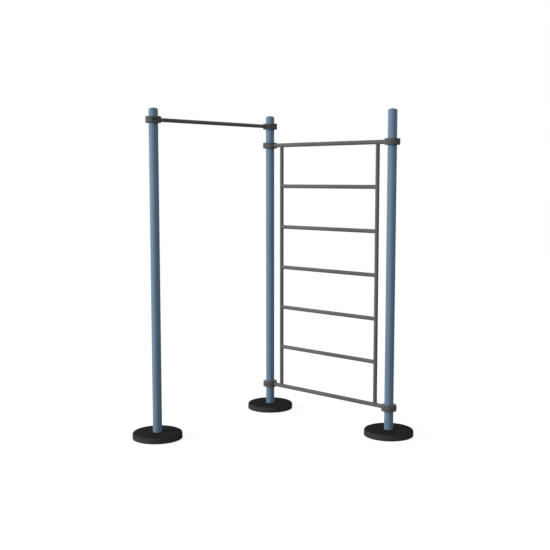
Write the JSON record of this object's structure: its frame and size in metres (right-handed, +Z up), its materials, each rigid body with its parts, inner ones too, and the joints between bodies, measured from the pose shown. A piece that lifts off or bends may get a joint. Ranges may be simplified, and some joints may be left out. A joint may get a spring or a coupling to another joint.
{
  "type": "swedish wall bars",
  "caption": "Free-standing wall bars: a ladder panel of welded tube clamped between two posts, with a pull-up bar clamped at a right angle to a third post.",
  "frame": {"origin": "on the floor at the middle of the footprint, midway between the left and the right post", "axes": "+Z up; +X along the wall bars from the middle post to the right post; +Y along the pull-up bar from the left post to the middle post"},
  "size_m": [1.76, 1.77, 2.6854],
  "materials": {
    "post_paint": "steel-blue satin powder coat on steel tube",
    "cap_plastic": "moulded plastic in the posts' blue",
    "tube_paint": "dark grey satin powder coat on steel tube",
    "clamp_paint": "dark grey powder coat on cast clamp halves",
    "bolt_steel": "blackened steel",
    "flange_steel": "zinc-coated steel plate",
    "cover_rubber": "black moulded rubber, matt"
  },
  "bodies": {
    "posts": {"left_post": "post_paint", "left_post_cap": "cap_plastic", "left_base_flange": "flange_steel", "left_base_cover": "cover_rubber", "middle_post": "post_paint", "middle_post_cap": "cap_plastic", "middle_base_flange": "flange_steel", "middle_base_cover": "cover_rubber", "right_post": "post_paint", "right_post_cap": "cap_plastic", "right_base_flange": "flange_steel", "right_base_cover": "cover_rubber"},
    "pull_up": {"pull_up_bar": "tube_paint", "pull_up_left_clamp_outer_half": "clamp_paint", "pull_up_left_clamp_inner_half": "clamp_paint", "pull_up_left_clamp_first_bolt": "bolt_steel", "pull_up_left_clamp_second_bolt": "bolt_steel", "pull_up_middle_clamp_outer_half": "clamp_paint", "pull_up_middle_clamp_inner_half": "clamp_paint", "pull_up_middle_clamp_first_bolt": "bolt_steel", "pull_up_middle_clamp_second_bolt": "bolt_steel"},
    "wall_bars": {"top_rail": "tube_paint", "bottom_rail": "tube_paint", "left_upright": "tube_paint", "right_upright": "tube_paint", "rung_1": "tube_paint", "rung_2": "tube_paint", "rung_3": "tube_paint", "rung_4": "tube_paint", "rung_5": "tube_paint", "top_rail_middle_clamp_rear_half": "clamp_paint", "top_rail_middle_clamp_front_half": "clamp_paint", "top_rail_middle_clamp_outer_bolt": "bolt_steel", "top_rail_middle_clamp_rail_bolt": "bolt_steel", "top_rail_right_clamp_rear_half": "clamp_paint", "top_rail_right_clamp_front_half": "clamp_paint", "top_rail_right_clamp_outer_bolt": "bolt_steel", "top_rail_right_clamp_rail_bolt": "bolt_steel", "bottom_rail_middle_clamp_rear_half": "clamp_paint", "bottom_rail_middle_clamp_front_half": "clamp_paint", "bottom_rail_middle_clamp_outer_bolt": "bolt_steel", "bottom_rail_middle_clamp_rail_bolt": "bolt_steel", "bottom_rail_right_clamp_rear_half": "clamp_paint", "bottom_rail_right_clamp_front_half": "clamp_paint", "bottom_rail_right_clamp_outer_bolt": "bolt_steel", "bottom_rail_right_clamp_rail_bolt": "bolt_steel"}
  },
  "joints": [
    {"name": "pull_up_height", "type": "slide", "parent": "posts", "child": "pull_up", "axis": [0, 0, 1], "range_m": [-0.11, 0.045]},
    {"name": "wall_bars_height", "type": "slide", "parent": "posts", "child": "wall_bars", "axis": [0, 0, 1], "range_m": [-0.15, 0]}
  ]
}
